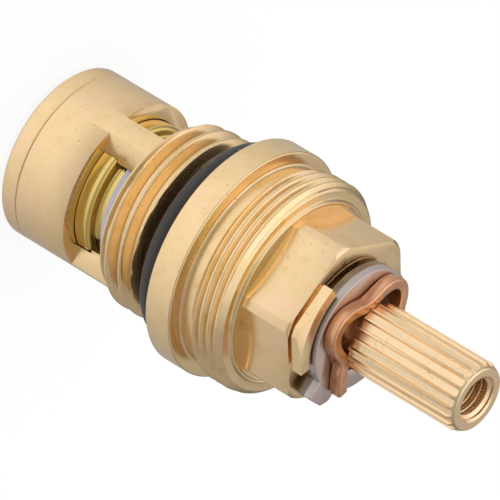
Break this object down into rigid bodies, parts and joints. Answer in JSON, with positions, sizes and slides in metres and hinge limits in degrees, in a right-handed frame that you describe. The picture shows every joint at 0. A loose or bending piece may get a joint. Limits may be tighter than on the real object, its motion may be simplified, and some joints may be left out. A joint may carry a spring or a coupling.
{
  "type": "ceramic disc tap cartridge",
  "caption": "Half-turn ceramic disc tap cartridge: threaded brass body with an open cage, splined stem, stop washer and wavy retaining clip.",
  "frame": {"origin": "middle of the inlet seal's lower face, on the axis", "axes": "+Z along the stem's axis, from the inlet end to the splined end"},
  "size_m": [0.0254, 0.0254, 0.0565],
  "materials": {
    "brass_body": "turned and milled, satin",
    "brass_ring": "matt, tumbled",
    "brass_stem": "turned, bright",
    "seal_rubber": "matt",
    "oring_rubber": "satin",
    "white_plastic": "moulded",
    "grey_plastic": "moulded",
    "fixed_ceramic": "lapped",
    "moving_ceramic": "lapped",
    "washer_steel": "stamped, grey",
    "clip_bronze": "copper-coloured spring bronze"
  },
  "bodies": {
    "housing": {"body": "brass_body", "end_ring": "brass_ring", "inlet_seal": "seal_rubber", "seal_support_ring": "white_plastic", "fixed_disc": "fixed_ceramic", "slide_ring": "grey_plastic", "flange_oring": "oring_rubber"},
    "stem": {"spindle": "brass_stem", "moving_disc": "moving_ceramic", "stem_oring_lower": "oring_rubber", "stem_oring_upper": "oring_rubber", "stop_washer": "washer_steel", "retaining_clip": "clip_bronze"}
  },
  "joints": [
    {"name": "stem_turn", "type": "hinge", "parent": "housing", "child": "stem", "pos_m": [0, 0, 0.03], "axis": [0, 0, 1], "range_deg": [-20, 160]}
  ]
}
